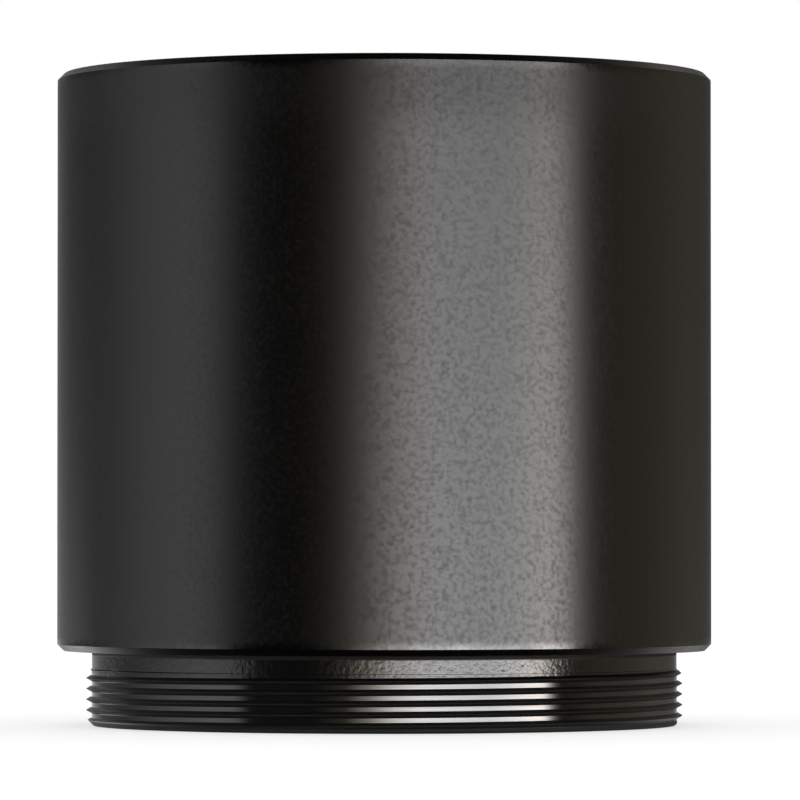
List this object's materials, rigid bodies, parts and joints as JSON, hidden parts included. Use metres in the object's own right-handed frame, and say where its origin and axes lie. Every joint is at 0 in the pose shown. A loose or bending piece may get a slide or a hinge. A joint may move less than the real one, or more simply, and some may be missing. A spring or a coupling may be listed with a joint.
{
  "type": "barlow lens",
  "caption": "Short cylindrical barlow lens for telescopes: black anodised barrel with a male 42 mm thread below, a female one above and two cemented negative doublets inside.",
  "frame": {"origin": "centre of the end face of the male thread, on the optical axis; the lens stands on this face", "axes": "+Z along the optical axis from the telescope to the camera, +X and +Y square to it; the start of the male thread lies on +X"},
  "size_m": [0.046, 0.046, 0.0457],
  "materials": {
    "black_anodised_satin": "satin black anodising over a fine bead-blasted surface",
    "black_anodised_matt": "matt black anodising over turned aluminium",
    "blackened_steel": "chemically blackened thin sheet",
    "crown_glass": "polished optical glass with a green and violet anti-reflection coating",
    "flint_glass": "polished optical glass with a green and violet anti-reflection coating",
    "black_elastomer": "matt black elastomer",
    "brass_shim": "rolled brass foil"
  },
  "bodies": {
    "root": {"barrel": "black_anodised_satin", "front_cell": "black_anodised_matt", "front_crown": "crown_glass", "front_flint": "flint_glass", "front_cushion": "black_elastomer", "front_retaining_ring": "black_anodised_matt", "lower_spacer": "black_anodised_matt", "baffle_ring": "blackened_steel", "upper_spacer": "black_anodised_matt", "rear_cell": "black_anodised_matt", "rear_flint": "flint_glass", "rear_crown": "crown_glass", "rear_cushion": "black_elastomer", "rear_retaining_ring": "black_anodised_matt", "stack_shim": "brass_shim", "lock_ring": "black_anodised_matt"}
  },
  "joints": []
}
